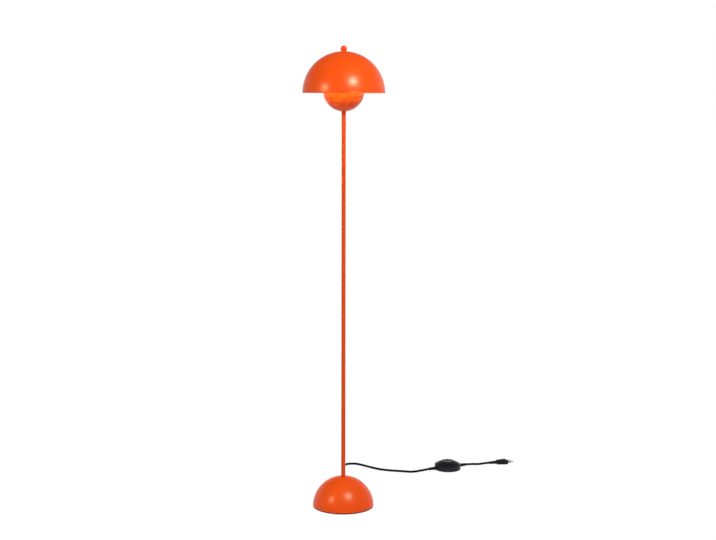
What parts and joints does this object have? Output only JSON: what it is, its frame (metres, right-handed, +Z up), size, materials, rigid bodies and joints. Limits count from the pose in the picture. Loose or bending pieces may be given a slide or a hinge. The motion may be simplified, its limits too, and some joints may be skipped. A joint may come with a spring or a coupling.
{
  "type": "floor lamp",
  "caption": "Floor lamp with a half-sphere shade over a smaller bowl on a thin stem, a weighted half-sphere base, and a round foot switch in its cord.",
  "frame": {"origin": "centre of the foot ring on the floor, on the axis of the stem", "axes": "+Z up along the stem; the cord leaves the base at the back, towards +Y, and the foot switch lies at +X and +Y"},
  "size_m": [0.6571, 0.5874, 1.3103],
  "materials": {
    "orange_lacquer": "gloss lacquer on spun steel",
    "black_rubber": "matte",
    "zinc_steel": "zinc plated",
    "cast_iron": "rough cast",
    "black_plastic": "fine grain",
    "black_cord": "smooth sheath",
    "white_plastic": "smooth",
    "brass": "plain",
    "nickel": "nickel plated",
    "ceramic": "unglazed",
    "opal_glass": "opal white"
  },
  "bodies": {
    "lamp": {"base_shell": "orange_lacquer", "base_weight": "cast_iron", "bottom_plate": "zinc_steel", "bowl_seat_ring": "zinc_steel", "clamp_screws": "zinc_steel", "cord_clamp": "black_plastic", "cord_coil": "black_cord", "cord_gland": "black_plastic", "cord_inlet": "black_cord", "cord_tie": "black_plastic", "cord_to_coil": "black_cord", "cord_to_plug": "black_cord", "cord_to_switch": "black_cord", "finial_collar": "orange_lacquer", "foot_ring": "black_rubber", "gland_nut": "black_plastic", "inner_lead": "black_cord", "lampholder_body": "black_plastic", "lampholder_cap": "black_plastic", "lampholder_contact": "brass", "lampholder_insert": "ceramic", "lampholder_thread": "brass", "lower_bowl": "orange_lacquer", "lower_rod": "zinc_steel", "plate_screws": "zinc_steel", "plug_body": "black_plastic", "plug_pins": "nickel", "plug_sleeve": "black_plastic", "rod_nut": "zinc_steel", "rod_spacer": "zinc_steel", "rod_washer": "zinc_steel", "shade": "orange_lacquer", "shade_bracket": "zinc_steel", "shade_seat_ring": "zinc_steel", "shade_stud": "zinc_steel", "shade_stud_nut": "zinc_steel", "stem_tube": "orange_lacquer", "switch_base": "black_plastic", "switch_blades": "brass", "switch_contact_block": "white_plastic", "switch_cord_ends": "black_cord", "switch_cover": "black_plastic", "switch_pad": "black_rubber", "switch_screws": "zinc_steel", "switch_sleeves": "black_plastic", "switch_spring": "zinc_steel", "terminal_block": "white_plastic", "upper_locknut": "zinc_steel", "upper_nipple": "zinc_steel"},
    "finial": {"finial_ball": "orange_lacquer"},
    "bulb": {"bulb_cap": "zinc_steel", "bulb_glass": "opal_glass"},
    "switch_button": {"switch_button": "black_plastic"}
  },
  "joints": [
    {"name": "button_press", "type": "slide", "parent": "lamp", "child": "switch_button", "axis": [0, 0, -1], "range_m": [0, 0.003], "stiffness_N_per_m": 1200, "springref_m": -0.002, "deforming": ["switch_spring"]},
    {"name": "finial_turn", "type": "hinge", "parent": "lamp", "child": "finial", "pos_m": [0, 0, 1.3], "axis": [0, 0, 1], "continuous": true},
    {"name": "bulb_turn", "type": "hinge", "parent": "lamp", "child": "bulb", "pos_m": [0, 0, 1.17], "axis": [0, 0, 1], "continuous": true}
  ]
}
